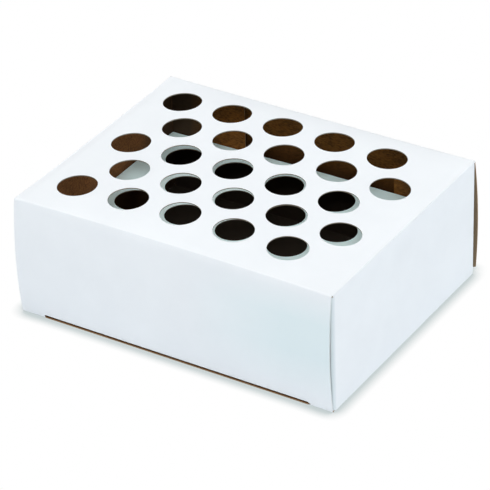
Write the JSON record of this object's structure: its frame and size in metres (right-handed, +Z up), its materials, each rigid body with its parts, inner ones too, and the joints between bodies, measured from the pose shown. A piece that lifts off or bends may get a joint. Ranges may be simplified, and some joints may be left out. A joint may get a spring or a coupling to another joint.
{
  "type": "paperboard tube rack",
  "caption": "Folded white paperboard rack: a low box with staggered round holes in its top over a matching holed shelf inside; both ends swing open.",
  "frame": {"origin": "on the floor, under the middle of the box's outer bounds", "axes": "+X along the rows, towards the side that the shifted rows lean to; +Y from the slotted front wall to the back wall; +Z up"},
  "size_m": [0.266, 0.219, 0.1029],
  "materials": {
    "outer_board": "white clay-coated paperboard, satin; plain kraft brown on the inner face",
    "shelf_board": "the same board, white on the shelf's upper face and kraft brown underneath",
    "base_board": "the same board with its kraft brown face inwards",
    "glue": "dried packaging glue, dull and translucent cream"
  },
  "bodies": {
    "rack": {"top_panel": "outer_board", "front_top_crease": "outer_board", "back_top_crease": "outer_board", "left_top_crease": "outer_board", "right_top_crease": "outer_board", "front_wall": "outer_board", "front_left_foot": "outer_board", "front_right_foot": "outer_board", "back_wall": "outer_board", "shelf_panel": "shelf_board", "shelf_back_crease": "shelf_board", "shelf_front_crease": "shelf_board", "shelf_leg": "shelf_board", "leg_foot_crease": "shelf_board", "leg_foot": "shelf_board", "bottom_panel": "base_board", "bottom_back_crease": "base_board", "shelf_riser": "base_board", "leg_foot_glue": "glue", "back_wall_glue": "glue"},
    "left_end": {"left_end_wall": "outer_board", "left_front_flap": "outer_board", "left_back_flap": "outer_board", "left_front_flap_crease": "outer_board", "left_back_flap_crease": "outer_board"},
    "right_end": {"right_end_wall": "outer_board", "right_front_flap": "outer_board", "right_back_flap": "outer_board", "right_front_flap_crease": "outer_board", "right_back_flap_crease": "outer_board"}
  },
  "joints": [
    {"name": "left_end_fold", "type": "hinge", "parent": "rack", "child": "left_end", "pos_m": [-0.13234, 0, 0.09684], "axis": [0, 1, 0], "range_deg": [0, 90], "deforming": ["left_top_crease"]},
    {"name": "right_end_fold", "type": "hinge", "parent": "rack", "child": "right_end", "pos_m": [0.13234, 0, 0.09684], "axis": [0, -1, 0], "range_deg": [0, 90], "deforming": ["right_top_crease"]}
  ]
}
